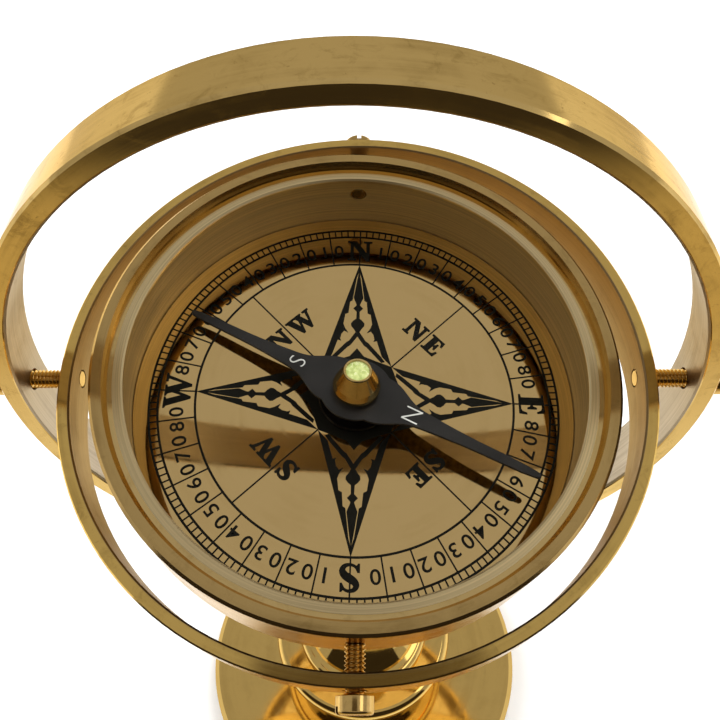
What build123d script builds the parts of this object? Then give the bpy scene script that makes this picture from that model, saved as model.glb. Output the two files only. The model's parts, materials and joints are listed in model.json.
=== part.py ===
"""Gimballed compass on a turned brass stand, in millimetres, +Z up.

The origin is on the surface it stands on, on the axis of the stand. The compass bowl hangs at
pivot_height in two nested rings: the gimbal ring turns about X in the fixed outer ring, and the
bowl turns about Y in the gimbal ring. Both are built level about the crossing of those two axes
and then turned to the pose they are stored in.
"""
import math
import os

from build123d import *

# ---- driving dimensions -------------------------------------------------------------------
pivot_height = 144.0            # crossing of the gimbal axes above the table
gimbal_tilt = 12.5              # degrees about X, front of the gimbal ring low
bowl_tilt = 3.0                 # degrees about the gimbal ring's Y, east side of the bowl low
needle_heading = 116.7          # degrees clockwise from the dial's north to the needle's N end
needle_dip = 3.5                # degrees that the needle's N end rides high on its pin
needle_roll = 8.0               # degrees that the side right of the N end rides high
dial_turn = 1.2                 # degrees clockwise that the dial is set in the bowl

thread_radius = 1.6             # 1/8 inch pivot screws
swing_clearance = 0.3           # radial gap between a pivot screw and the hole it turns in

outer_ring_radius = 59.8
outer_ring_wall = 3.5
outer_ring_width = 10.0
outer_ring_chamfer = 0.45

gimbal_radius = 50.0
gimbal_wall = 2.1
gimbal_width = 9.8
gimbal_chamfer = 0.25

head_radius = 2.8
head_length = 2.6
head_round = 0.5
slot_width = 0.8
slot_depth = 1.1
outer_head_gap = 1.1            # side screws: head to the outer ring
inner_head_gap = 0.6            # front and rear screws: head to the gimbal ring
screw_point = 0.3               # chamfer at the end of a screw

bowl_radius = 43.7
bowl_wall = 3.5
bowl_bottom = -11.2             # heights in the bowl are measured from its pivot axis
bowl_corner = 5.0
rim_top = 7.9
rim_bevel = 0.5
rim_flare = 0.5                 # the rim's inside opens out by this much towards the top
seat_step = 0.9                 # width of the ledge that the glass lies on
seat_height = 3.8
glass_top = 5.3
bezel_top = 6.1
bezel_inner_radius = 38.65
bezel_lip = 0.3

dial_top = -8.1
dial_thickness = 0.6
dial_gap = 0.2

hub_disc_radius = 6.8
hub_disc_thickness = 0.8
hub_disc_round = 0.3
post_radius = 1.2
post_depth = 1.5                # how far the post is set into the bowl's floor
post_shoulder = -6.0
post_top = -2.5
post_top_radius = 0.75
pin_radius = 0.45
pin_depth = 2.0
pin_cone = 1.2
pin_tip = 1.55

blade_top = -2.8
blade_bore = 2.3
blade_thickness = 0.5
blade_hub_radius = 6.4
blade_shoulder = 50             # degrees from the blade's line to where its edge leaves the hub
blade_half_widths = [           # distance from the centre, half width there
    (7.6, 3.9),
    (10.7, 2.2),
    (14.0, 1.6),
    (18.0, 1.25),
    (24.0, 0.95),
    (31.0, 0.8),
    (34.4, 0.5),
]
cap_bore = 1.6
cap_bore_step = -1.2
cap_top = 3.0
jewel_seat = 0.6
jewel_top = 2.7
jewel_radius = 2.05
jewel_cup_radius = 0.9
jewel_cup_depth = 1.1

pad_radius = 43.0
pad_thickness = 1.0
base_radius = 46.0
base_top = 6.0
base_bevel_width = 1.3
base_bevel_height = 0.9
nut_recess_radius = 8.0
nut_recess_top = 4.2
washer_thickness = 0.7
washer_radius = 6.0
nut_flats = 8.0
nut_thickness = 2.0
rod_radius = 2.5
rod_end = 1.3
rod_top = 66.0
foot_top = 31.0
stem_top = 69.0
ring_screw_radius = 1.6
ring_screw_head = 3.2
ring_screw_end = 74.0
ring_screw_slot = 0.7
saddle_neck = 8.6               # radius of the saddle's foot, which is a little wider than the stem

overcut = 1.0                   # how far a hole is drilled past the wall it goes through
cap_lip = 0.1                   # bevel of the cap's edge around the jewel

ring_inner_radius = outer_ring_radius - outer_ring_wall
gimbal_inner_radius = gimbal_radius - gimbal_wall
bowl_inner_radius = bowl_radius - bowl_wall
seat_radius = bowl_inner_radius + seat_step
swing_hole_radius = thread_radius + swing_clearance
ring_screw_top = pivot_height - ring_inner_radius


# ---- helpers --------------------------------------------------------------------------------
upright = (Align.CENTER, Align.CENTER, Align.MIN)


def turned(points):
    """Solid of revolution about Z from a closed (radius, height) outline."""
    outline = make_face(Polyline(*[(r, 0, z) for r, z in points], close=True))
    return revolve(outline, Axis.Z)


def turned_curve(points, inner_radius):
    """Turned piece whose outside is a smooth curve through the points, bored right through."""
    side = Spline(*[(r, 0, z) for r, z in points])
    bottom_z = points[0][1]
    top_z = points[-1][1]
    closing = Polyline(
        (points[-1][0], 0, top_z),
        (inner_radius, 0, top_z),
        (inner_radius, 0, bottom_z),
        (points[0][0], 0, bottom_z),
    )
    return revolve(make_face([side, closing]), Axis.Z)


def disc(radius, bottom_z, top_z, hole_radius=0.0):
    body = Cylinder(radius, top_z - bottom_z, align=upright)
    if hole_radius:
        body -= Cylinder(hole_radius, top_z - bottom_z, align=upright)
    return Pos(0, 0, bottom_z) * body


def band(outer_radius, inner_radius, width, chamfer_size):
    """Flat band ring about Z, centred on the origin, with its four edges chamfered."""
    half = width / 2
    c = chamfer_size
    return turned([
        (inner_radius + c, -half),
        (outer_radius - c, -half),
        (outer_radius, -half + c),
        (outer_radius, half - c),
        (outer_radius - c, half),
        (inner_radius + c, half),
        (inner_radius, half - c),
        (inner_radius, -half + c),
    ])


def rod_along(direction, radius, start, end):
    """Round rod along +X or -X, +Y or -Y between two distances from the origin."""
    return direction * disc(radius, start, end)


toward_right = Rot(0, 90, 0)
toward_left = Rot(0, -90, 0)
toward_front = Rot(90, 0, 0)
toward_back = Rot(-90, 0, 0)


def pivot_screw(direction, end_distance, head_distance):
    """Slotted cheese-head screw lying along a gimbal axis, head outwards."""
    shank = turned([
        (0, end_distance),
        (thread_radius - screw_point, end_distance),
        (thread_radius, end_distance + screw_point),
        (thread_radius, head_distance),
        (head_radius, head_distance),
        (head_radius, head_distance + head_length - head_round),
        (head_radius - head_round, head_distance + head_length),
        (0, head_distance + head_length),
    ])
    slot = Pos(0, 0, head_distance + head_length - slot_depth / 2) * Box(
        slot_width, 3 * head_radius, slot_depth
    )
    return direction * (shank - slot)


# ---- stand ----------------------------------------------------------------------------------
def base_pad():
    return disc(pad_radius, 0, pad_thickness)


def base_plate():
    plate = turned([
        (0, pad_thickness),
        (base_radius - base_bevel_height / 2, pad_thickness),
        (base_radius, pad_thickness + base_bevel_height / 2),
        (base_radius, base_top - base_bevel_height),
        (base_radius - base_bevel_width, base_top),
        (0, base_top),
    ])
    plate -= disc(nut_recess_radius, pad_thickness, nut_recess_top)
    return plate - disc(rod_radius, nut_recess_top, base_top)


def base_washer():
    return disc(washer_radius, nut_recess_top - washer_thickness, nut_recess_top, rod_radius)


def base_nut():
    top_z = nut_recess_top - washer_thickness
    corner_radius = nut_flats / math.sqrt(3)
    hexagon = Pos(0, 0, top_z - nut_thickness) * RegularPolygon(corner_radius, 6)
    return extrude(hexagon, nut_thickness) - disc(rod_radius, top_z - nut_thickness, top_z)


def tie_rod():
    return disc(rod_radius, rod_end, rod_top)


def turned_foot():
    """Moulded foot: a scotia, a wide torus and a bead, below the stem."""
    outline = make_face([
        Polyline(
            (rod_radius, 0, foot_top),
            (rod_radius, 0, base_top),
            (21.0, 0, base_top),
            (21.5, 0, 7.4),
        ),
        ThreePointArc((21.5, 0, 7.4), (18.6, 0, 14.0), (21.9, 0, 20.9)),
        Line((21.9, 0, 20.9), (23.0, 0, 21.6)),
        ThreePointArc((23.0, 0, 21.6), (24.9, 0, 24.2), (23.0, 0, 26.6)),
        Line((23.0, 0, 26.6), (17.3, 0, 26.9)),
        ThreePointArc((17.3, 0, 26.9), (18.2, 0, 28.9), (16.4, 0, 30.6)),
        Line((16.4, 0, 30.6), (15.2, 0, foot_top)),
        Line((15.2, 0, foot_top), (rod_radius, 0, foot_top)),
    ])
    return revolve(outline, Axis.Z)


def turned_stem():
    """Baluster between the foot and the saddle."""
    return turned_curve(
        [
            (14.6, foot_top),
            (11.2, 35.0),
            (8.0, 41.0),
            (6.6, 47.0),
            (7.4, 52.0),
            (10.6, 57.5),
            (11.6, 61.5),
            (9.6, 65.5),
            (7.2, stem_top),
        ],
        rod_radius,
    )


def ring_saddle():
    """Collar on top of the stem, hollowed to the outer ring's curve."""
    saddle = turned([
        (0, rod_top),
        (rod_radius, rod_top),
        (rod_radius, stem_top),
        (saddle_neck, stem_top),
        (9.6, 70.0),
        (9.6, 71.4),
        (saddle_neck, 72.4),
        (7.0, 73.2),
        (6.6, 75.4),
        (7.2, 78.4),
        (9.0, 81.2),
        (11.4, 83.2),
        (11.9, 84.4),
        (11.9, 86.4),
        (0, 86.4),
    ])
    hollow = Pos(0, 0, pivot_height) * Rot(90, 0, 0) * Cylinder(outer_ring_radius, 4 * outer_ring_width)
    return saddle - hollow - disc(ring_screw_radius, ring_screw_end, pivot_height)


def outer_ring():
    flat_ring = band(outer_ring_radius, ring_inner_radius, outer_ring_width, outer_ring_chamfer)
    ring = Rot(90, 0, 0) * flat_ring
    for direction in (toward_left, toward_right):
        ring -= rod_along(direction, swing_hole_radius, gimbal_radius, outer_ring_radius + overcut)
    return Pos(0, 0, pivot_height) * ring - ring_screw_blank()


def ring_screw_blank():
    """Countersunk screw, without its slot, that stands a little proud of the ring's inside."""
    flare = ring_screw_head - ring_screw_radius
    return turned([
        (0, ring_screw_end),
        (ring_screw_radius, ring_screw_end),
        (ring_screw_radius, ring_screw_top - flare),
        (ring_screw_head, ring_screw_top),
        (ring_screw_head, ring_screw_top + outer_ring_chamfer),
        (0, ring_screw_top + outer_ring_chamfer),
    ])


def ring_screw():
    """Screw that holds the outer ring down on its saddle, its slotted head flush with the ring."""
    proud = disc(2 * ring_screw_head, ring_screw_top, ring_screw_top + 2 * outer_ring_chamfer)
    slot = Box(slot_width, 3 * ring_screw_head, 2 * ring_screw_slot)
    return ring_screw_blank() - proud - Pos(0, 0, ring_screw_top) * slot


# ---- gimbal ring ------------------------------------------------------------------------------
def gimbal_ring():
    ring = band(gimbal_radius, gimbal_inner_radius, gimbal_width, gimbal_chamfer)
    start = gimbal_inner_radius - overcut
    end = gimbal_radius + overcut
    for direction in (toward_left, toward_right):
        ring -= rod_along(direction, thread_radius, start, end)
    for direction in (toward_front, toward_back):
        ring -= rod_along(direction, swing_hole_radius, start, end)
    return ring


def side_pivot_screw(direction):
    return pivot_screw(direction, gimbal_inner_radius, outer_ring_radius + outer_head_gap)


# ---- compass bowl -----------------------------------------------------------------------------
def bowl_shell():
    floor_z = dial_top - dial_thickness
    corner_inset = bowl_corner * (1 - math.sqrt(0.5))
    outline = make_face([
        Polyline((0, 0, floor_z), (0, 0, bowl_bottom), (bowl_radius - bowl_corner, 0, bowl_bottom)),
        ThreePointArc(
            (bowl_radius - bowl_corner, 0, bowl_bottom),
            (bowl_radius - corner_inset, 0, bowl_bottom + corner_inset),
            (bowl_radius, 0, bowl_bottom + bowl_corner),
        ),
        Polyline(
            (bowl_radius, 0, bowl_bottom + bowl_corner),
            (bowl_radius, 0, rim_top - rim_bevel),
            (bowl_radius - rim_bevel, 0, rim_top),
            (seat_radius + rim_flare, 0, rim_top),
            (seat_radius, 0, bezel_top),
            (seat_radius, 0, seat_height),
            (bowl_inner_radius, 0, seat_height),
            (bowl_inner_radius, 0, floor_z),
            (0, 0, floor_z),
        ),
    ])
    shell = revolve(outline, Axis.Z)
    for direction in (toward_front, toward_back):
        shell -= rod_along(direction, thread_radius, bowl_inner_radius - overcut, bowl_radius + overcut)
    return shell - disc(post_radius, floor_z - post_depth, floor_z)


def glass():
    return disc(seat_radius, seat_height, glass_top)


def bezel_ring():
    """Ring pressed into the rim over the glass."""
    return turned([
        (bezel_inner_radius, glass_top),
        (seat_radius, glass_top),
        (seat_radius, bezel_top),
        (bezel_inner_radius + bezel_lip, bezel_top),
        (bezel_inner_radius, bezel_top - bezel_lip),
    ])


def dial_plate():
    return disc(bowl_inner_radius - dial_gap, dial_top - dial_thickness, dial_top, post_radius)


def hub_disc():
    top_z = dial_top + hub_disc_thickness
    return turned([
        (post_radius, dial_top),
        (hub_disc_radius, dial_top),
        (hub_disc_radius, top_z - hub_disc_round),
        (hub_disc_radius - hub_disc_round, top_z),
        (post_radius, top_z),
    ])


def pivot_post():
    foot_z = dial_top - dial_thickness - post_depth
    return turned([
        (0, foot_z),
        (post_radius, foot_z),
        (post_radius, post_shoulder),
        (post_top_radius, post_top),
        (pin_radius, post_top),
        (pin_radius, post_top - pin_depth),
        (0, post_top - pin_depth),
    ])


def pivot_pin():
    return turned([
        (0, post_top - pin_depth),
        (pin_radius, post_top - pin_depth),
        (pin_radius, pin_tip - pin_cone),
        (0, pin_tip),
    ])


def bowl_pivot_screw(direction):
    return pivot_screw(direction, bowl_inner_radius, gimbal_radius + inner_head_gap)


# ---- needle -----------------------------------------------------------------------------------
def needle_blade():
    """Bow-shaped steel blade, broad at the hub and running out to two blunt tips."""
    shoulder = math.radians(blade_shoulder)
    shoulder_x = blade_hub_radius * math.sin(shoulder)
    shoulder_y = blade_hub_radius * math.cos(shoulder)
    right = [(shoulder_x, shoulder_y, 0)] + [(half, reach, 0) for reach, half in blade_half_widths]
    left = [(-x, y, z) for x, y, z in reversed(right)]
    tip_half, tip_reach, _ = right[-1]
    half_blade = make_face([
        Spline(*right),
        ThreePointArc(right[-1], (0, tip_reach + 0.8 * tip_half, 0), left[0]),
        Spline(*left),
        Line(left[-1], right[0]),
    ])
    outline = half_blade + Rot(0, 0, 180) * half_blade + Circle(blade_hub_radius)
    blade = Pos(0, 0, blade_top - blade_thickness) * extrude(outline, blade_thickness)
    return blade - disc(blade_bore, blade_top - blade_thickness, blade_top)


def needle_cap():
    """Turned brass cap that carries the jewel bearing."""
    return turned([
        (blade_bore, blade_top),
        (3.1, blade_top),
        (3.8, -2.6),
        (4.15, -2.1),
        (4.15, -1.4),
        (3.75, -0.3),
        (3.2, 0.9),
        (2.75, 1.9),
        (2.45, 2.6),
        (2.45, cap_top - cap_lip),
        (2.45 - cap_lip, cap_top),
        (jewel_radius + cap_lip, cap_top),
        (jewel_radius, cap_top - cap_lip),
        (jewel_radius, jewel_seat),
        (cap_bore, jewel_seat),
        (cap_bore, cap_bore_step),
        (blade_bore, cap_bore_step),
    ])


def cap_jewel():
    return turned([
        (0, jewel_seat + jewel_cup_depth),
        (jewel_cup_radius, jewel_seat),
        (jewel_radius, jewel_seat),
        (jewel_radius, jewel_top),
        (0, jewel_top),
    ])


# ---- assembly ---------------------------------------------------------------------------------
gimbal_frame = Pos(0, 0, pivot_height) * Rot(gimbal_tilt, 0, 0)
bowl_frame = gimbal_frame * Rot(0, bowl_tilt, 0)
dial_frame = bowl_frame * Rot(0, 0, -dial_turn)
pin_frame = dial_frame * Rot(0, 0, -needle_heading) * Pos(0, 0, pin_tip)
needle_frame = pin_frame * Rot(needle_dip, -needle_roll, 0) * Pos(0, 0, -pin_tip)

stand_nodes = {
    "base_pad": base_pad(),
    "base_plate": base_plate(),
    "base_washer": base_washer(),
    "base_nut": base_nut(),
    "tie_rod": tie_rod(),
    "turned_foot": turned_foot(),
    "turned_stem": turned_stem(),
    "ring_saddle": ring_saddle(),
    "outer_ring": outer_ring(),
    "ring_screw": ring_screw(),
}
gimbal_nodes = {
    "gimbal_ring": gimbal_ring(),
    "left_pivot_screw": side_pivot_screw(toward_left),
    "right_pivot_screw": side_pivot_screw(toward_right),
}
bowl_nodes = {
    "bowl_shell": bowl_shell(),
    "glass": glass(),
    "bezel_ring": bezel_ring(),
    "dial_plate": dial_plate(),
    "hub_disc": hub_disc(),
    "pivot_post": pivot_post(),
    "pivot_pin": pivot_pin(),
    "front_pivot_screw": bowl_pivot_screw(toward_front),
    "rear_pivot_screw": bowl_pivot_screw(toward_back),
}
needle_nodes = {
    "needle_blade": needle_blade(),
    "needle_cap": needle_cap(),
    "cap_jewel": cap_jewel(),
}

os.makedirs("parts", exist_ok=True)
for frame, nodes in (
    (Pos(0, 0, 0), stand_nodes),
    (gimbal_frame, gimbal_nodes),
    (bowl_frame, bowl_nodes),
    (needle_frame, needle_nodes),
):
    for name, shape in nodes.items():
        export_step(frame * shape, f"parts/{name}.step")
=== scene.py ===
import json
import math

import bmesh
import bpy
from mathutils import Matrix, Vector


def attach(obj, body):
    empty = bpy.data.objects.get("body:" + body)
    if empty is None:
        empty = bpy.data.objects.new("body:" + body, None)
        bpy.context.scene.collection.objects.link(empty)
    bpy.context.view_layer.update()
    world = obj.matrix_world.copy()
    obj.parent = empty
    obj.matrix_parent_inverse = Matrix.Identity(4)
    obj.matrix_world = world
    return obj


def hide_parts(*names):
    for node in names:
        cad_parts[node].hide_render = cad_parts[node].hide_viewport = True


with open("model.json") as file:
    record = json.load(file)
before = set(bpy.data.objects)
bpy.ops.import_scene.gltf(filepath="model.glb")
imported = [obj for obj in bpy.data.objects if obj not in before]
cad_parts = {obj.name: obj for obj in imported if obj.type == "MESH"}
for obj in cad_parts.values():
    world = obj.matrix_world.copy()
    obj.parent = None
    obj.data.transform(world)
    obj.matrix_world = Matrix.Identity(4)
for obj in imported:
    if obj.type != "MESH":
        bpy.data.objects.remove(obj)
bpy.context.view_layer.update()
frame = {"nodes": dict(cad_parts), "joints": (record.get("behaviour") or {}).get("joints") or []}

mm = 0.001

# ---- places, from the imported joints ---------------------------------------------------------
joints = {joint["name"]: joint for joint in frame["joints"]}
pivot = Vector(joints["gimbal_swing"]["pos_m"])
gimbal_x = Vector(joints["gimbal_swing"]["axis"]).normalized()
bowl_y = Vector(joints["bowl_swing"]["axis"]).normalized()
bowl_z = Vector(joints["needle_turn"]["axis"]).normalized()
bowl_x = bowl_y.cross(bowl_z)
gimbal_z = gimbal_x.cross(bowl_y)
dial_turn = math.radians(1.2)
needle_heading = math.radians(116.7)
needle_dip = math.radians(3.5)
needle_roll = math.radians(8.0)
pin_tip = 1.55 * mm             # height of the point that the needle rocks on


def placed(x_axis, y_axis, z_axis, origin):
    """Matrix that carries a piece built about its own origin to three axes at a place."""
    return Matrix.Translation(origin) @ Matrix((x_axis, y_axis, z_axis)).transposed().to_4x4()


gimbal_place = placed(gimbal_x, bowl_y, gimbal_z, pivot)
bowl_place = placed(bowl_x, bowl_y, bowl_z, pivot)
dial_place = bowl_place @ Matrix.Rotation(-dial_turn, 4, "Z")
needle_place = (
    dial_place
    @ Matrix.Rotation(-needle_heading, 4, "Z")
    @ Matrix.Translation((0, 0, pin_tip))
    @ Matrix.Rotation(needle_dip, 4, "X")
    @ Matrix.Rotation(-needle_roll, 4, "Y")
    @ Matrix.Translation((0, 0, -pin_tip))
)
ring_place = Matrix.Translation(pivot) @ Matrix.Rotation(math.radians(90), 4, "X")
stand_place = Matrix.Identity(4)

# ---- sizes that the print, the threads and the letters share with the parts -----------------
dial_top = -8.1 * mm
blade_top = -2.8 * mm
ink_height = 0.03 * mm
letter_lift = 0.012 * mm        # letters lie over the lines that cross them
scale_radius = 29.04 * mm       # inner circle of the dial's scale
tick_inner = 1.229 * scale_radius
tick_outer = 1.283 * scale_radius
thread_radius = 1.6 * mm
thread_pitch = 0.635 * mm       # 40 to the inch
thread_depth = 0.34 * mm
head_radius = 2.8 * mm
head_length = 2.6 * mm
head_edge = 0.5 * mm            # rolled outer edge of a screw's head
head_under_edge = 0.15 * mm
slot_width = 0.8 * mm
slot_depth = 1.1 * mm
gimbal_inner = 47.9 * mm
bowl_inner = 40.2 * mm
side_head = 60.9 * mm           # from the pivot to the underside of a side screw's head
inner_head = 50.6 * mm          # the same for the front and rear screws
front_slot_turn = 1.2           # radians


# ---- material helpers -----------------------------------------------------------------------
class Nodes:
    """A short way to write node trees."""

    def __init__(self, name):
        self.material = bpy.data.materials.new(name)
        self.material.use_nodes = True
        self.tree = self.material.node_tree
        self.tree.nodes.clear()

    def add(self, kind, inputs=None, **settings):
        node = self.tree.nodes.new(kind)
        for key, value in settings.items():
            setattr(node, key, value)
        for key, value in (inputs or {}).items():
            self.plug(node.inputs[key], value)
        return node

    def plug(self, socket, value):
        if isinstance(value, bpy.types.NodeSocket):
            self.tree.links.new(value, socket)
        else:
            socket.default_value = value

    def math(self, operation, a, b=0.0, clamp=False):
        node = self.add("ShaderNodeMath", {0: a, 1: b}, operation=operation, use_clamp=clamp)
        return node.outputs[0]

    def ramp(self, value, low, high, to_low=0.0, to_high=1.0):
        """Smooth step from to_low to to_high as value goes from low to high."""
        node = self.add(
            "ShaderNodeMapRange",
            {"Value": value, "From Min": low, "From Max": high, "To Min": to_low, "To Max": to_high},
            interpolation_type="SMOOTHSTEP",
        )
        return node.outputs["Result"]

    def mix(self, factor, a, b):
        node = self.add("ShaderNodeMix", data_type="RGBA")
        self.plug(node.inputs["Factor"], factor)
        self.plug(node.inputs[6], a)
        self.plug(node.inputs[7], b)
        return node.outputs[2]

    def noise(self, vector, scale, detail=3.0, rough=0.5, w=None, distortion=0.0):
        node = self.add(
            "ShaderNodeTexNoise",
            {"Vector": vector, "Scale": scale, "Detail": detail, "Roughness": rough},
            noise_dimensions="3D" if w is None else "4D",
        )
        node.inputs["Distortion"].default_value = distortion
        if w is not None:
            self.plug(node.inputs["W"], w)
        return node.outputs["Fac"]

    def finish(self, shader):
        out = self.add("ShaderNodeOutputMaterial")
        self.tree.links.new(shader, out.inputs["Surface"])
        return self.material


def round_coordinates(nodes, place):
    """Coordinates that ride with the piece: point, direction round the axis, radius and height."""
    point = nodes.add("ShaderNodeTexCoord").outputs["Object"]
    local = nodes.add(
        "ShaderNodeMapping",
        {"Vector": point, "Location": place.to_translation(), "Rotation": place.to_euler("XYZ")},
        vector_type="TEXTURE",
    ).outputs["Vector"]
    parts = nodes.add("ShaderNodeSeparateXYZ", {0: local})
    x, y, z = parts.outputs
    square = nodes.math("ADD", nodes.math("MULTIPLY", x, x), nodes.math("MULTIPLY", y, y))
    radius = nodes.math("SQRT", square)
    return local, nodes.math("DIVIDE", x, radius), nodes.math("DIVIDE", y, radius), radius, z


edge_tint = (0.86, 0.72, 0.50, 1)  # brass seen along its surface stays warm


def turned_lines(nodes, coordinates, pitch, length, detail=3.0):
    """Noise drawn out round the axis: lines about pitch apart and length long at a 50 mm radius."""
    _, cos, sin, radius, z = coordinates
    along = 50 * mm / length
    vector = nodes.add(
        "ShaderNodeCombineXYZ",
        {
            0: nodes.math("MULTIPLY", cos, along),
            1: nodes.math("MULTIPLY", sin, along),
            2: nodes.math("DIVIDE", z, pitch),
        },
    ).outputs[0]
    return nodes.noise(vector, 1.0, detail, 0.6, w=nodes.math("DIVIDE", radius, pitch))


def brass(
    name,
    place,
    color,
    tarnish,
    roughness=0.16,
    line_pitch=0.12,
    line_length=14.0,
    line_depth=0.5,
    tarnish_amount=0.35,
    spots=0.25,
    mottling=0.2,
    scratches=0.5,
    inner=None,
):
    """Turned, lacquered brass with tool lines round its axis, tarnish, pits and fine scratches.

    line_pitch and line_length are in millimetres, and so is the radius in inner.

    inner is (radius, color, roughness): inside that radius the metal is paler and brushed.
    """
    nodes = Nodes(name)
    coordinates = round_coordinates(nodes, place)
    local, _, _, radius, _ = coordinates
    lines = turned_lines(nodes, coordinates, line_pitch * mm, line_length * mm)
    cloud = nodes.noise(local, 95.0, 5.0, 0.62)
    smear = turned_lines(nodes, coordinates, 1.6 * mm, 30 * mm, 4.0)
    grain = nodes.noise(local, 2600.0, 2.0, 0.5)
    pits = nodes.ramp(nodes.noise(local, 620.0, 4.0, 0.75), 0.65, 0.72)
    mottle = nodes.ramp(nodes.noise(local, 260.0, 6.0, 0.72, distortion=0.8), 0.52, 0.68)
    hair = nodes.ramp(turned_lines(nodes, coordinates, 0.35 * mm, 22 * mm, 5.0), 0.66, 0.74)

    dull = nodes.ramp(nodes.math("MULTIPLY", cloud, smear), 0.20, 0.42)
    stain = nodes.math("MULTIPLY", dull, tarnish_amount)
    stain = nodes.math("ADD", stain, nodes.math("MULTIPLY", pits, spots))
    stain = nodes.math("ADD", stain, nodes.math("MULTIPLY", mottle, mottling))
    stain = nodes.math("ADD", stain, nodes.math("MULTIPLY", hair, scratches * 0.5), clamp=True)
    skin = nodes.mix(stain, (*color, 1), (*tarnish, 1))
    rough = nodes.math("ADD", roughness, nodes.math("MULTIPLY", stain, 0.22))
    rough = nodes.math("ADD", rough, nodes.math("MULTIPLY", nodes.math("SUBTRACT", lines, 0.5), 0.12))
    height = nodes.math("MULTIPLY", lines, line_depth)
    height = nodes.math("ADD", height, nodes.math("MULTIPLY", grain, 0.08))
    height = nodes.math("SUBTRACT", height, nodes.math("MULTIPLY", pits, 0.8))
    height = nodes.math("SUBTRACT", height, nodes.math("MULTIPLY", hair, scratches))
    if inner:
        inner_radius, inner_color, inner_rough = inner
        inside = nodes.ramp(radius, (inner_radius - 0.05) * mm, (inner_radius + 0.05) * mm, 1.0, 0.0)
        brush = turned_lines(nodes, coordinates, 0.22 * mm, 60 * mm, 6.0)
        groove = [c * 0.72 for c in inner_color]
        pale = nodes.mix(nodes.ramp(brush, 0.3, 0.7), (*inner_color, 1), (*groove, 1))
        skin = nodes.mix(inside, skin, pale)
        rough = nodes.math("ADD", rough, nodes.math("MULTIPLY", inside, inner_rough - roughness))
        brushed = nodes.math("MULTIPLY", nodes.math("MULTIPLY", brush, inside), 2.2)
        height = nodes.math("ADD", height, brushed)
    bump = nodes.add(
        "ShaderNodeBump", {"Strength": 0.6, "Distance": 0.004 * mm, "Height": height}
    ).outputs["Normal"]
    shader = nodes.add(
        "ShaderNodeBsdfPrincipled",
        {
            "Base Color": skin,
            "Metallic": 1.0,
            "Roughness": rough,
            "Specular Tint": edge_tint,
            "Normal": bump,
        },
    )
    return nodes.finish(shader.outputs["BSDF"])


ring_brass = brass(
    "ring_brass", ring_place, (0.80, 0.55, 0.20), (0.32, 0.19, 0.05), roughness=0.09,
    line_depth=0.3, tarnish_amount=0.4, spots=0.55, mottling=0.3, inner=(56.6, (0.52, 0.43, 0.31), 0.36),
)
gimbal_brass = brass(
    "gimbal_brass", gimbal_place, (0.80, 0.53, 0.15), (0.26, 0.14, 0.03), roughness=0.12,
    tarnish_amount=0.3, mottling=0.25, inner=(48.2, (0.36, 0.24, 0.11), 0.34),
)
bowl_brass = brass(
    "bowl_brass", bowl_place, (0.60, 0.40, 0.15), (0.26, 0.15, 0.04), roughness=0.14,
    line_depth=0.6, tarnish_amount=0.35, spots=0.15, inner=(40.8, (0.95, 0.78, 0.46), 0.62),
)
bezel_brass = brass(
    "bezel_brass", bowl_place, (0.74, 0.52, 0.21), (0.38, 0.23, 0.07), roughness=0.12,
    line_depth=0.3, tarnish_amount=0.2, spots=0.2, inner=(40.3, (0.88, 0.68, 0.36), 0.3),
)
stand_brass = brass(
    "stand_brass", stand_place, (0.78, 0.52, 0.16), (0.40, 0.24, 0.06), roughness=0.06,
    line_pitch=0.09, line_depth=0.15, tarnish_amount=0.2, spots=0.1, mottling=0.08, scratches=0.25,
)
screw_brass = brass(
    "screw_brass", gimbal_place, (0.70, 0.46, 0.16), (0.20, 0.10, 0.03), roughness=0.16,
    line_length=3.0, tarnish_amount=0.35, scratches=0.1,
)
cap_brass = brass(
    "cap_brass", needle_place, (0.90, 0.66, 0.28), (0.40, 0.24, 0.08), roughness=0.16,
    line_pitch=0.07, line_length=8.0, line_depth=0.4, tarnish_amount=0.3, scratches=0.1,
)
dial_brass = brass(
    "dial_brass", dial_place, (0.82, 0.56, 0.25), (0.66, 0.43, 0.16), roughness=0.045,
    line_pitch=0.2, line_depth=0.02, tarnish_amount=0.25, spots=0.04, mottling=0.03, scratches=0.0,
)


def paint(name, color, roughness, gloss, worn=None, underside_light=None):
    """Painted metal with a fine grain; worn is a color rubbed through it.

    under is painted light: the faces that look down take this dull colour, which stands in for light
    thrown up from the brass dial below.
    """
    nodes = Nodes(name)
    coordinates = nodes.add("ShaderNodeTexCoord")
    point = coordinates.outputs["Object"]
    grain = nodes.noise(point, 1500.0, 3.0)
    cloud = nodes.noise(point, 140.0, 4.0)
    deep = [c * 0.7 for c in color]
    skin = nodes.mix(nodes.ramp(cloud, 0.35, 0.65), (*color, 1), (*deep, 1))
    if worn:
        rubbed = nodes.ramp(nodes.noise(point, 420.0, 6.0, 0.7), 0.66, 0.74)
        skin = nodes.mix(rubbed, skin, (*worn, 1))
    # painted light: faces that look down take a dull olive, standing in for light thrown up from the
    # brass dial below
    if underside_light:
        facing = nodes.add("ShaderNodeSeparateXYZ", {0: coordinates.outputs["Normal"]}).outputs[2]
        underside_noise = nodes.noise(point, 900.0, 5.0, 0.8)
        dark = [c * 0.4 for c in underside_light]
        painted_underside_light = nodes.mix(nodes.ramp(underside_noise, 0.35, 0.65), (*underside_light, 1), (*dark, 1))
        skin = nodes.mix(nodes.ramp(facing, -0.7, -0.5), painted_underside_light, skin)
    rough = nodes.math("ADD", roughness, nodes.math("MULTIPLY", cloud, 0.12))
    bump = nodes.add(
        "ShaderNodeBump", {"Strength": 0.4, "Distance": 0.003 * mm, "Height": grain}
    ).outputs["Normal"]
    shader = nodes.add(
        "ShaderNodeBsdfPrincipled",
        {"Base Color": skin, "Roughness": rough, "Normal": bump, "Specular IOR Level": gloss},
    )
    return nodes.finish(shader.outputs["BSDF"])


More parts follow.
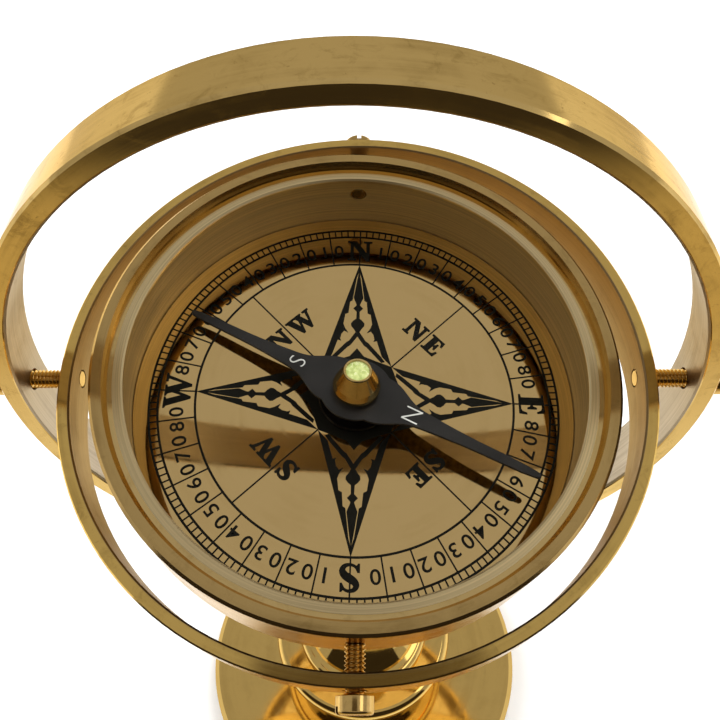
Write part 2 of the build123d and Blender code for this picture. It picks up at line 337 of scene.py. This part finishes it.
def steel_material():
    nodes = Nodes("steel_plain")
    point = nodes.add("ShaderNodeTexCoord").outputs["Object"]
    grain = nodes.noise(point, 1800.0, 4.0)
    cloud = nodes.noise(point, 160.0, 4.0)
    skin = nodes.mix(nodes.ramp(cloud, 0.35, 0.65), (0.62, 0.61, 0.59, 1), (0.45, 0.43, 0.40, 1))
    rough = nodes.math("ADD", 0.25, nodes.math("MULTIPLY", grain, 0.2))
    bump = nodes.add(
        "ShaderNodeBump", {"Strength": 0.4, "Distance": 0.004 * mm, "Height": grain}
    ).outputs["Normal"]
    shader = nodes.add(
        "ShaderNodeBsdfPrincipled",
        {"Base Color": skin, "Metallic": 1.0, "Roughness": rough, "Normal": bump},
    )
    return nodes.finish(shader.outputs["BSDF"])


def glass_material():
    """Thin flat glass: what lies under it shows straight through, and it only mirrors at a slant."""
    nodes = Nodes("cover_glass_clear")
    point = nodes.add("ShaderNodeTexCoord").outputs["Object"]
    smudge = nodes.noise(point, 70.0, 4.0, 0.6)
    rough = nodes.ramp(smudge, 0.45, 0.8, 0.0, 0.05)
    clear = nodes.add("ShaderNodeBsdfTransparent", {"Color": (0.985, 0.99, 0.975, 1)})
    gloss = nodes.add("ShaderNodeBsdfGlossy", {"Color": (1, 1, 1, 1), "Roughness": rough})
    facing = nodes.add("ShaderNodeLayerWeight", {"Blend": 0.5}).outputs["Facing"]
    mirror = nodes.math("MULTIPLY", nodes.math("POWER", facing, 5.0), 0.5)
    both = nodes.add("ShaderNodeMixShader", {0: mirror})
    nodes.tree.links.new(clear.outputs[0], both.inputs[1])
    nodes.tree.links.new(gloss.outputs[0], both.inputs[2])
    return nodes.finish(both.outputs[0])


def jewel_material():
    """Mottled yellow-green stone."""
    nodes = Nodes("jewel_stone")
    point = nodes.add("ShaderNodeTexCoord").outputs["Object"]
    cells = nodes.add(
        "ShaderNodeTexVoronoi", {"Vector": point, "Scale": 1500.0}, feature="SMOOTH_F1"
    ).outputs["Distance"]
    veins = nodes.noise(point, 1300.0, 5.0, 0.7, distortion=1.2)
    skin = nodes.mix(nodes.ramp(cells, 0.1, 0.8), (0.62, 0.68, 0.26, 1), (0.36, 0.44, 0.10, 1))
    skin = nodes.mix(nodes.ramp(veins, 0.5, 0.72), skin, (0.80, 0.80, 0.48, 1))
    shader = nodes.add(
        "ShaderNodeBsdfPrincipled",
        {
            "Base Color": skin,
            "Roughness": nodes.ramp(veins, 0.3, 0.7, 0.12, 0.35),
            "Coat Weight": 0.6,
            "Coat Roughness": 0.08,
        },
    )
    return nodes.finish(shader.outputs["BSDF"])


def felt_material():
    nodes = Nodes("felt_baize")
    point = nodes.add("ShaderNodeTexCoord").outputs["Object"]
    fibre = nodes.noise(point, 2400.0, 6.0, 0.8, distortion=2.0)
    cloud = nodes.noise(point, 120.0, 4.0)
    skin = nodes.mix(fibre, (0.018, 0.07, 0.035, 1), (0.06, 0.19, 0.10, 1))
    skin = nodes.mix(nodes.ramp(cloud, 0.4, 0.7, 0.0, 0.4), skin, (0.09, 0.20, 0.12, 1))
    bump = nodes.add(
        "ShaderNodeBump", {"Strength": 1.0, "Distance": 0.15 * mm, "Height": fibre}
    ).outputs["Normal"]
    shader = nodes.add(
        "ShaderNodeBsdfPrincipled",
        {"Base Color": skin, "Roughness": 0.95, "Normal": bump, "Sheen Weight": 0.4},
    )
    return nodes.finish(shader.outputs["BSDF"])


# the needle's faces that look down get painted light, a dull olive from the brass dial below; its paint
# is black
black_needle = paint(
    "needle_black", (0.016, 0.014, 0.014), 0.34, 0.35, worn=(0.06, 0.05, 0.04), underside_light=(0.16, 0.115, 0.03)
)
black_hub = paint("hub_black", (0.004, 0.003, 0.003), 0.06, 0.3)
black_ink = paint("ink_black", (0.007, 0.006, 0.004), 0.3, 0.15)
white_paint = paint("letter_white", (0.72, 0.71, 0.69), 0.45, 0.5)
steel = steel_material()
felt = felt_material()
cover_glass = glass_material()
jewel_stone = jewel_material()

node_materials = {
    "base_pad": felt,
    "base_plate": stand_brass,
    "base_washer": steel,
    "base_nut": steel,
    "tie_rod": steel,
    "turned_foot": stand_brass,
    "turned_stem": stand_brass,
    "ring_saddle": stand_brass,
    "outer_ring": ring_brass,
    "ring_screw": screw_brass,
    "gimbal_ring": gimbal_brass,
    "bowl_shell": bowl_brass,
    "bezel_ring": bezel_brass,
    "glass": cover_glass,
    "dial_plate": dial_brass,
    "hub_disc": black_hub,
    "pivot_post": cap_brass,
    "pivot_pin": steel,
    "needle_blade": black_needle,
    "needle_cap": cap_brass,
    "cap_jewel": jewel_stone,
}
for node_name, material in node_materials.items():
    materials = frame["nodes"][node_name].data.materials
    materials.clear()
    materials.append(material)


# ---- mesh helpers ---------------------------------------------------------------------------
def piece(name, mesh, material, body, place):
    """A new piece from a mesh built about its own origin, set in its place and riding on a body."""
    mesh.transform(place)
    mesh.materials.clear()
    mesh.materials.append(material)
    made = bpy.data.objects.new(name, mesh)
    bpy.context.scene.collection.objects.link(made)
    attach(made, body)
    return made


def mesh_of(name, corners, faces):
    mesh = bpy.data.meshes.new(name)
    mesh.from_pydata(corners, [], faces)
    mesh.validate()
    return mesh


class Ink:
    """Flat shapes on one plane, each raised into a thin closed solid, gathered into one mesh."""

    def __init__(self, bottom, height):
        self.bottom = bottom
        self.top = bottom + height
        self.corners = []
        self.faces = []

    def outline(self, points, lift=0.0):
        """Any simple outline, given in order either way round."""
        area = sum(
            a[0] * b[1] - b[0] * a[1] for a, b in zip(points, points[1:] + points[:1])
        )
        if area < 0:
            points = points[::-1]
        start = len(self.corners)
        count = len(points)
        self.corners += [(x, y, self.bottom) for x, y in points]
        self.corners += [(x, y, self.top + lift) for x, y in points]
        self.faces.append([start + count + i for i in range(count)])
        self.faces.append([start + i for i in reversed(range(count))])
        for i in range(count):
            j = (i + 1) % count
            self.faces.append([start + i, start + j, start + count + j, start + count + i])

    def ring(self, inner, outer, steps=360):
        """A flat ring about the origin."""
        start = len(self.corners)
        for i in range(steps):
            angle = 2 * math.pi * i / steps
            for radius, z in (
                (inner, self.bottom), (outer, self.bottom), (outer, self.top), (inner, self.top)
            ):
                self.corners.append((radius * math.cos(angle), radius * math.sin(angle), z))
        for i in range(steps):
            j = (i + 1) % steps
            for k in range(4):
                m = (k + 1) % 4
                self.faces.append(
                    [start + 4 * i + k, start + 4 * j + k, start + 4 * j + m, start + 4 * i + m]
                )

    def bar(self, angle, inner, outer, width):
        """A straight line along a compass direction between two radii."""
        across = width / 2
        self.outline([
            on_dial(angle, along, side)
            for along, side in ((inner, -across), (outer, -across), (outer, across), (inner, across))
        ])

    def mesh(self, name):
        return mesh_of(name, self.corners, self.faces)


def on_dial(bearing, along, side=0.0):
    """Point at a distance along a compass bearing in degrees, and to the right of it by side."""
    angle = math.radians(bearing)
    return (
        along * math.sin(angle) + side * math.cos(angle),
        along * math.cos(angle) - side * math.sin(angle),
    )


# ---- bold serif capitals, in tenths of their height -----------------------------------------
serif_letters = {
    "N": (10.5, [[
        (0, 0), (3.6, 0), (3.6, 0.6), (2.5, 0.9), (2.5, 7.6), (8.1, -0.2), (9.4, -0.2),
        (9.4, 9.1), (10.5, 9.4), (10.5, 10), (6.9, 10), (6.9, 9.4), (8.1, 9.1), (8.1, 3.9),
        (3.7, 10), (0, 10), (0, 9.4), (1.2, 9.1), (1.2, 0.9), (0, 0.6),
    ]]),
    "E": (8.6, [[
        (0, 0), (8.2, 0), (8.6, 3.0), (8.0, 3.0), (7.2, 1.2), (6.2, 0.7), (4.2, 0.7),
        (4.2, 4.7), (5.2, 4.6), (5.7, 3.4), (6.3, 3.4), (6.3, 7.0), (5.7, 7.0), (5.2, 5.6),
        (4.2, 5.4), (4.2, 9.3), (5.8, 9.3), (6.9, 8.8), (7.6, 7.2), (8.2, 7.2), (7.9, 10),
        (0, 10), (0, 9.4), (1.4, 9.1), (1.4, 0.9), (0, 0.6),
    ]]),
    "W": (15.0, [[
        (0, 10), (0, 9.4), (0.9, 9.1), (4.3, -0.3), (5.2, -0.3), (7.5, 5.6), (9.6, -0.3),
        (10.5, -0.3), (14.0, 9.1), (15, 9.4), (15, 10), (11.5, 10), (11.5, 9.4), (12.8, 9.1),
        (10.9, 3.4), (8.9, 9.1), (9.8, 9.4), (9.8, 10), (5.2, 10), (5.2, 9.4), (6.1, 9.1),
        (6.8, 7.2), (5.6, 3.5), (3.7, 9.1), (4.6, 9.4), (4.6, 10),
    ]]),
}
# The S is drawn by its middle line: x, y and the width of the stroke there.
s_stroke = [
    (7.0, 7.5, 0.5), (6.3, 8.8, 0.8), (4.6, 9.6, 0.9), (2.6, 9.2, 1.4), (1.7, 7.8, 2.0),
    (2.4, 6.4, 2.4), (4.2, 5.2, 2.8), (6.0, 4.0, 2.6), (6.8, 2.4, 2.1), (6.0, 0.9, 1.4),
    (4.1, 0.35, 0.9), (2.2, 1.0, 0.8), (1.2, 2.6, 0.5),
]
s_serifs = [
    [(7.5, 9.9), (7.0, 9.9), (6.0, 8.6), (6.9, 6.9), (7.5, 6.9)],
    [(0.6, 0.0), (1.1, 0.0), (2.2, 1.4), (1.3, 3.1), (0.6, 3.1)],
]


def smooth_line(points, steps=6):
    """Catmull-Rom curve through points of any number of values."""
    ends = [points[0]] + points + [points[-1]]
    line = []
    for before, a, b, after in zip(ends, ends[1:], ends[2:], ends[3:]):
        for i in range(steps):
            t = i / steps
            line.append([
                0.5 * (2 * q + (r - p) * t + (2 * p - 5 * q + 4 * r - s) * t * t
                       + (3 * q - p - 3 * r + s) * t ** 3)
                for p, q, r, s in zip(before, a, b, after)
            ])
    return line + [list(points[-1])]


def stroke_outline(line):
    """Outline of a line of (x, y, width) points."""
    left, right = [], []
    for i, (x, y, width) in enumerate(line):
        ahead = line[min(i + 1, len(line) - 1)]
        behind = line[max(i - 1, 0)]
        along = Vector((ahead[0] - behind[0], ahead[1] - behind[1])).normalized()
        left.append((x - along.y * width / 2, y + along.x * width / 2))
        right.append((x + along.y * width / 2, y - along.x * width / 2))
    return left + right[::-1]


serif_letters["S"] = (8.0, [stroke_outline(smooth_line(s_stroke))] + s_serifs)


def thicker(points, amount):
    """The outline moved outwards by an amount, with corners kept."""
    area = sum(a[0] * b[1] - b[0] * a[1] for a, b in zip(points, points[1:] + points[:1]))
    hand = 1 if area > 0 else -1
    moved = []
    for before, here, after in zip(points[-1:] + points[:-1], points, points[1:] + points[:1]):
        first = (Vector(here) - Vector(before)).normalized()
        second = (Vector(after) - Vector(here)).normalized()
        normal = Vector((first.y + second.y, -first.x - second.x)) * hand
        square = max(normal.length_squared, 1.0)
        moved.append(tuple(Vector(here) + normal * (2 * amount / square)))
    return moved


def serif_letter(ink, letter, bearing, radius, height, side=0.0, bold=0.12):
    """A capital, top outwards, centred at a radius on a bearing and shifted sideways."""
    width, outlines = serif_letters[letter]
    unit = height / 10
    for layer, outline in enumerate(outlines):
        outline = thicker(outline, bold)
        ink.outline(
            [
                on_dial(bearing, radius + (y - 5) * unit, side + (x - width / 2) * unit)
                for x, y in outline
            ],
            letter_lift * (1 + 0.3 * layer),
        )


# ---- the dial's print -----------------------------------------------------------------------
circle_width = 0.42 * mm
line_width = 0.28 * mm
number_height = 2.6 * mm
number_radius = 0.5 * (scale_radius + tick_inner)
cardinal_height = 4.6 * mm
corner_letter_height = 3.6 * mm
corner_letter_radius = 0.63 * scale_radius
corner_letter_gap = 1.1 * mm    # between the two boxes of a corner's letters
corner_letter_bold = 0.3        # thickening of the strokes, in tenths of the height
rose_corner = 9.26 * mm         # where neighbouring arms of the rose meet
digit_angle = 2.55              # degrees between a digit's middle and its ten-degree line
digit_bold = 0.03 * mm
digit_stretch = 1.1
needle_letter_height = 3.0 * mm
needle_letter_thickness = 0.02 * mm
needle_letter_thinning = -0.05 * mm


def scale_print():
    """Circles, degree ticks, ten-degree lines and the four diagonals."""
    ink = Ink(dial_top, ink_height)
    half = circle_width / 2
    for radius in (scale_radius, tick_inner, tick_outer):
        ink.ring(radius - half, radius + half)
    for bearing in range(0, 360, 2):
        ink.bar(bearing, tick_inner + half, tick_outer - half, line_width)
    for bearing in range(0, 360, 10):
        ink.bar(bearing, scale_radius + half, tick_inner - half, line_width)
    for bearing in (45, 135, 225, 315):
        ink.bar(bearing, rose_corner, scale_radius - half, line_width)
    return ink.mesh("scale_print")


# One side of a rose arm in millimetres, as (along the arm, to its side).
arm_edge = [
    (29.04, 0.0), (27.4, 0.0), (25.8, 0.48), (20.7, 1.15), (20.4, 1.62), (17.9, 1.85),
    (17.6, 2.45), (15.5, 2.75), (14.6, 2.45), (13.5, 1.75), (13.9, 2.55), (13.2, 3.05),
    (12.2, 3.25), (11.7, 3.05), (11.9, 3.7), (8.6, 4.7), (7.7, 5.5), (6.55, 6.55),
]
arm_spear = [
    (13.7, 0.4), (14.3, 0.7), (15.0, 1.25), (15.6, 1.3), (16.2, 0.85), (16.6, 0.34),
    (18.2, 0.3), (18.9, 0.95), (19.6, 0.34), (20.0, 0.42), (21.3, 0.95), (25.6, 0.34),
    (27.6, 0.0),
]
arm_leg = [
    (14.0, 0.0), (13.5, 0.5), (11.8, 1.55), (11.4, 2.1), (8.5, 4.6), (7.5, 5.3),
    (7.3, 4.6), (10.4, 1.85), (10.8, 1.3), (12.7, 0.0),
]
arm_heart = [(10.2, 0.0), (8.5, 1.35), (7.5, 3.9), (6.55, 6.55), (3.0, 3.0), (3.0, 0.0)]


def rose_print():
    """Four arms: outline bars with spurs, a spear with a spade at its foot, and crossed legs."""
    ink = Ink(dial_top, ink_height)
    for bearing in (0, 90, 180, 270):
        for hand in (-1, 1):
            for shape in (arm_edge, arm_leg, arm_heart):
                ink.outline([on_dial(bearing, s * mm, hand * t * mm) for s, t in shape])
        spear = arm_spear + [(s, -t) for s, t in reversed(arm_spear[:-1])]
        ink.outline([on_dial(bearing, s * mm, t * mm) for s, t in spear])
    return ink.mesh("rose_print")


def letter_print():
    ink = Ink(dial_top, ink_height)
    for index, letter in enumerate("NESW"):
        serif_letter(ink, letter, 90 * index, number_radius, cardinal_height)
    for bearing, letters in ((45, "NE"), (135, "SE"), (225, "SW"), (315, "NW")):
        for hand, letter in zip((-1, 1), letters):
            half_width = serif_letters[letter][0] / 20 * corner_letter_height
            side = hand * (corner_letter_gap / 2 + half_width)
            serif_letter(
                ink, letter, bearing, corner_letter_radius, corner_letter_height, side, corner_letter_bold
            )
    return ink.mesh("letter_print")


def text_mesh(text, height, thickness, spread=0.0, stretch=1.0):
    """Text in the built-in font as a mesh of a given height, centred, its top towards +Y."""
    curve = bpy.data.curves.new("text", "FONT")
    curve.body = text
    curve.size = height
    curve.extrude = thickness / 2
    curve.offset = spread
    curve.resolution_u = 6
    holder = bpy.data.objects.new("text", curve)
    bpy.context.scene.collection.objects.link(holder)
    graph = bpy.context.evaluated_depsgraph_get()
    mesh = bpy.data.meshes.new_from_object(holder.evaluated_get(graph))
    bpy.data.objects.remove(holder)
    low = Vector(min(v.co[i] for v in mesh.vertices) for i in range(3))
    high = Vector(max(v.co[i] for v in mesh.vertices) for i in range(3))
    mesh.transform(Matrix.Translation(-(low + high) / 2))
    scale = height / (high.y - low.y)
    mesh.transform(Matrix.Diagonal((scale * stretch, scale, 1.0, 1.0)))
    return mesh


def joined(name, placed_meshes):
    """One mesh from several (mesh, matrix) pairs."""
    whole = bmesh.new()
    for mesh, matrix in placed_meshes:
        copy = mesh.copy()
        copy.transform(matrix)
        whole.from_mesh(copy)
        bpy.data.meshes.remove(copy)
    made = bpy.data.meshes.new(name)
    whole.to_mesh(made)
    whole.free()
    return made


def number_print():
    """Tens from 10 to 80 away from north and south, each digit on its own side of its line."""
    digits = {
        digit: text_mesh(digit, number_height, ink_height, digit_bold, digit_stretch)
        for digit in "012345678"
    }
    middle = dial_top + ink_height / 2
    shapes = []
    for pole, turn in ((0, 1), (0, -1), (180, 1), (180, -1)):
        for tens in range(1, 9):
            bearing = pole + turn * 10 * tens
            for digit, side in ((str(tens), -1), ("0", 1)):
                angle = bearing + side * digit_angle
                x, y = on_dial(angle, number_radius)
                upright = Matrix.Rotation(-math.radians(angle), 4, "Z")
                shapes.append((digits[digit], Matrix.Translation((x, y, middle)) @ upright))
    return joined("number_print", shapes)


for make, ink_name in (
    (scale_print, "scale_print"),
    (rose_print, "rose_print"),
    (letter_print, "letter_print"),
    (number_print, "number_print"),
):
    piece(ink_name, make(), black_ink, "bowl", dial_place)


# ---- the needle's letters -------------------------------------------------------------------
for text, turned_by, letter_reach in (("N", 0.0, 11.0 * mm), ("S", math.pi, 12.0 * mm)):
    letter = text_mesh(text, needle_letter_height, needle_letter_thickness, needle_letter_thinning)
    spot = Matrix.Rotation(turned_by, 4, "Z") @ Matrix.Translation(
        (0, letter_reach, blade_top + needle_letter_thickness / 2)
    )
    piece(f"needle_letter_{text}", letter, white_paint, "needle", needle_place @ spot)


# ---- pivot screws ---------------------------------------------------------------------------
def lathe_mesh(name, outline, steps=64):
    """Solid of revolution about Z from an outline that starts and ends on the axis."""
    corners = [(0, 0, outline[0][1])]
    faces = []
    rows = outline[1:-1]
    for radius, z in rows:
        for i in range(steps):
            angle = 2 * math.pi * i / steps
            corners.append((radius * math.cos(angle), radius * math.sin(angle), z))
    last = len(corners)
    corners.append((0, 0, outline[-1][1]))
    for i in range(steps):
        j = (i + 1) % steps
        faces.append([0, 1 + j, 1 + i])
        for row in range(len(rows) - 1):
            a = 1 + row * steps
            faces.append([a + i, a + j, a + steps + j, a + steps + i])
        a = 1 + (len(rows) - 1) * steps
        faces.append([a + i, a + j, last])
    return mesh_of(name, corners, faces)


def rounded(radius, z, r, start, stop, steps=6):
    """Arc of a lathe outline about (radius, z) from one angle to another, in degrees."""
    angles = [math.radians(start + (stop - start) * i / steps) for i in range(steps + 1)]
    return [(radius + r * math.cos(a), z + r * math.sin(a)) for a in angles]


def screw_head_mesh(z):
    """Slotted cheese head with rolled edges, its underside at z."""
    top = z + head_length
    outline = [(0, z)]
    outline += rounded(head_radius - head_under_edge, z + head_under_edge, head_under_edge, -90, 0)
    outline += rounded(head_radius - head_edge, top - head_edge, head_edge, 0, 90)
    outline += [(0, top)]
    head = bpy.data.objects.new("head", lathe_mesh("head", outline, 96))
    bpy.context.scene.collection.objects.link(head)
    slot_half = slot_width / 2
    reach = 1.2 * head_radius
    ends = (top - slot_depth, top + slot_depth)
    corners = [(x, y, h) for h in ends for y in (-reach, reach) for x in (-slot_half, slot_half)]
    sides = [(0, 2, 3, 1), (4, 5, 7, 6), (0, 1, 5, 4), (2, 6, 7, 3), (0, 4, 6, 2), (1, 3, 7, 5)]
    cutter = bpy.data.objects.new("cutter", mesh_of("cutter", corners, sides))
    bpy.context.scene.collection.objects.link(cutter)
    cut = head.modifiers.new("slot", "BOOLEAN")
    cut.operation = "DIFFERENCE"
    cut.solver = "EXACT"
    cut.object = cutter
    graph = bpy.context.evaluated_depsgraph_get()
    mesh = bpy.data.meshes.new_from_object(head.evaluated_get(graph))
    bpy.data.objects.remove(head)
    bpy.data.objects.remove(cutter)
    return mesh


def thread_mesh(bottom, top, steps=56, rows_per_turn=12):
    """Helical V thread: the radius falls and rises once in each pitch, and ends in a plain nose."""
    nose = 0.3 * mm
    row_count = int((top - bottom) / thread_pitch * rows_per_turn)
    corners = [(0, 0, bottom)]
    for row in range(row_count + 1):
        z = bottom + (top - bottom) * row / row_count
        for i in range(steps):
            angle = 2 * math.pi * i / steps
            phase = (z / thread_pitch - i / steps) % 1.0
            valley = 1 - min(1.0, max(0.0, abs(2 * phase - 1) - 0.12) / 0.78)
            fade = min(1.0, (z - bottom) / nose)
            radius = thread_radius - thread_depth * valley * fade
            radius = min(radius, thread_radius - nose + (z - bottom))
            corners.append((radius * math.cos(angle), radius * math.sin(angle), z))
    last = len(corners)
    corners.append((0, 0, top))
    faces = []
    for i in range(steps):
        j = (i + 1) % steps
        faces.append([0, 1 + j, 1 + i])
        for row in range(row_count):
            a = 1 + row * steps
            faces.append([a + i, a + j, a + steps + j, a + steps + i])
        a = 1 + row_count * steps
        faces.append([a + i, a + j, last])
    return mesh_of("thread", corners, faces)


def smooth_by_angle(mesh, degrees=35):
    mesh.polygons.foreach_set("use_smooth", [True] * len(mesh.polygons))
    mesh.set_sharp_from_angle(angle=math.radians(degrees))


def pivot_screw(node, body, end, head_at, direction, slot_turn):
    """Threaded screw along an axis direction, head outwards, in place of its plain CAD solid."""
    turn = Matrix.Rotation(slot_turn, 4, "Z")
    mesh = joined(node, [(thread_mesh(end, head_at), turn), (screw_head_mesh(head_at), turn)])
    smooth_by_angle(mesh)
    made = piece(node + "_threaded", mesh, screw_brass, body, direction)
    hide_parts(node)


def facing(place, axis, degrees):
    """The place turned so that its Z lies along one of its own directions."""
    return place @ Matrix.Rotation(math.radians(degrees), 4, axis)


for node, body, end, head_at, direction, slot_turn in (
    ("left_pivot_screw", "gimbal", gimbal_inner, side_head, facing(gimbal_place, "Y", -90), 0.0),
    ("right_pivot_screw", "gimbal", gimbal_inner, side_head, facing(gimbal_place, "Y", 90), 0.0),
    ("front_pivot_screw", "bowl", bowl_inner, inner_head, facing(bowl_place, "X", 90), front_slot_turn),
    ("rear_pivot_screw", "bowl", bowl_inner, inner_head, facing(bowl_place, "X", -90), 0.0),
):
    pivot_screw(node, body, end, head_at, direction, slot_turn)


# ---- floor, light and camera ----------------------------------------------------------------
def floor_material():
    nodes = Nodes("floor_paper")
    point = nodes.add("ShaderNodeTexCoord").outputs["Object"]
    grain = nodes.noise(point, 300.0, 3.0)
    skin = nodes.mix(grain, (0.92, 0.92, 0.915, 1), (0.95, 0.95, 0.945, 1))
    shader = nodes.add("ShaderNodeBsdfPrincipled", {"Base Color": skin, "Roughness": 0.9})
    return nodes.finish(shader.outputs["BSDF"])


floor_half = 6.0
floor_level = -0.0001           # just under the pad, so that the two do not share a plane
floor_mesh = mesh_of(
    "floor",
    [(x * floor_half, y * floor_half, floor_level) for x, y in ((-1, -1), (1, -1), (1, 1), (-1, 1))],
    [[0, 1, 2, 3]],
)
floor_mesh.materials.append(floor_material())
floor = bpy.data.objects.new("floor", floor_mesh)
bpy.context.scene.collection.objects.link(floor)

world = bpy.data.worlds.new("studio")
world.use_nodes = True
background = world.node_tree.nodes["Background"]
background.inputs["Color"].default_value = (1.0, 0.985, 0.96, 1)
background.inputs["Strength"].default_value = 0.46
bpy.context.scene.world = world


def soft_light(name, place, aim, size, power):
    """Area light; it lights what is matt, and the cards are what the brass reflects."""
    lamp = bpy.data.lights.new(name, "AREA")
    lamp.shape = "RECTANGLE"
    lamp.size, lamp.size_y = size
    lamp.energy = power
    made = bpy.data.objects.new(name, lamp)
    made.location = place
    made.rotation_mode = "QUATERNION"
    made.rotation_quaternion = (Vector(place) - Vector(aim)).to_track_quat("Z", "Y")
    made.visible_glossy = False
    bpy.context.scene.collection.objects.link(made)


soft_light("key", (0.5, 0.7, 1.1), pivot, (0.9, 0.9), 16.0)
soft_light("left", (-1.0, 0.2, 0.9), pivot, (0.9, 0.9), 14.0)


def reflection_only(name, mesh):
    made = bpy.data.objects.new(name, mesh)
    made.visible_camera = False
    made.visible_diffuse = False
    made.visible_shadow = False
    bpy.context.scene.collection.objects.link(made)


def card(name, corners, light):
    """Flat card of even brightness that only shows as a reflection."""
    mesh = mesh_of(name, corners, [[0, 1, 2, 3]])
    nodes = Nodes(name)
    shader = nodes.add("ShaderNodeEmission", {"Color": (*light, 1), "Strength": 1.0})
    mesh.materials.append(nodes.finish(shader.outputs[0]))
    reflection_only(name, mesh)


def upright_card(name, x, y, z, light):
    """Card standing across the view from one x to another at a y, between two heights."""
    low, high = z
    card(name, [(x[0], y, low), (x[1], y, low), (x[1], y, high), (x[0], y, high)], light)


def side_card(name, x, y, z, light):
    """Card standing at an x, from one y to another, between two heights."""
    low, high = z
    card(name, [(x, y[0], low), (x, y[1], low), (x, y[1], high), (x, y[0], high)], light)


white_paper = (0.86, 0.85, 0.84)
dark_room = (0.035, 0.028, 0.02)
upright_card("back_paper", (-1.1, 1.1), 0.8, (0.0, 0.38), white_paper)
side_card("left_paper", -0.9, (-0.25, 0.8), (0.0, 0.34), white_paper)
side_card("right_paper", 0.9, (-0.25, 0.8), (0.0, 0.34), white_paper)
side_card("window", 0.60, (-0.35, 0.20), (0.62, 1.05), (2.0, 1.95, 1.85))
upright_card("front_dark", (-0.5, 0.5), -0.31, (0.0, 0.34), dark_room)


def shaded_floor():
    """The near edge of the paper, falling into the shade of the room in front of it."""
    near, far, side = -0.07, -0.31, 0.6
    mesh = mesh_of(
        "near_floor",
        [(-side, far, mm), (side, far, mm), (side, near, mm), (-side, near, mm)],
        [[0, 1, 2, 3]],
    )
    nodes = Nodes("near_floor")
    point = nodes.add("ShaderNodeTexCoord").outputs["Object"]
    y = nodes.add("ShaderNodeSeparateXYZ", {0: point}).outputs[1]
    shade = nodes.mix(nodes.ramp(y, -0.29, -0.21), (*dark_room, 1), (0.60, 0.50, 0.28, 1))
    shade = nodes.mix(nodes.ramp(y, -0.16, -0.07), shade, (1.0, 0.99, 0.97, 1))
    shader = nodes.add("ShaderNodeEmission", {"Color": shade, "Strength": 1.0})
    mesh.materials.append(nodes.finish(shader.outputs[0]))
    reflection_only("near_floor", mesh)


shaded_floor()

camera_place = pivot + Vector((2.382, -82.909, 106.245)) * mm
pan, tilt, roll = (math.radians(a) for a in (1.253, -50.653, 1.066))
look = (
    Matrix.Translation(camera_place)
    @ Matrix.Rotation(pan, 4, "Z")
    @ Matrix.Rotation(tilt, 4, "X")
    @ Matrix.Rotation(roll, 4, "Y")
)
phone_corners = [(-36, -6, -38), (36, -6, -38), (36, -6, 36), (-36, -6, 36)]
card("phone_dark", [look @ (Vector(corner) * mm) for corner in phone_corners], (0.10, 0.08, 0.06))
camera_data = bpy.data.cameras.new("camera")
camera_data.sensor_width = 36.0
camera_data.lens = 38.81
camera_data.clip_start = 0.001
camera_data.clip_end = 50.0
camera = bpy.data.objects.new("camera", camera_data)
camera.matrix_world = look @ Matrix.Rotation(math.radians(90), 4, "X")
bpy.context.scene.collection.objects.link(camera)
bpy.context.scene.camera = camera

bpy.context.scene.view_settings.view_transform = "Standard"

bpy.context.view_layer.update()
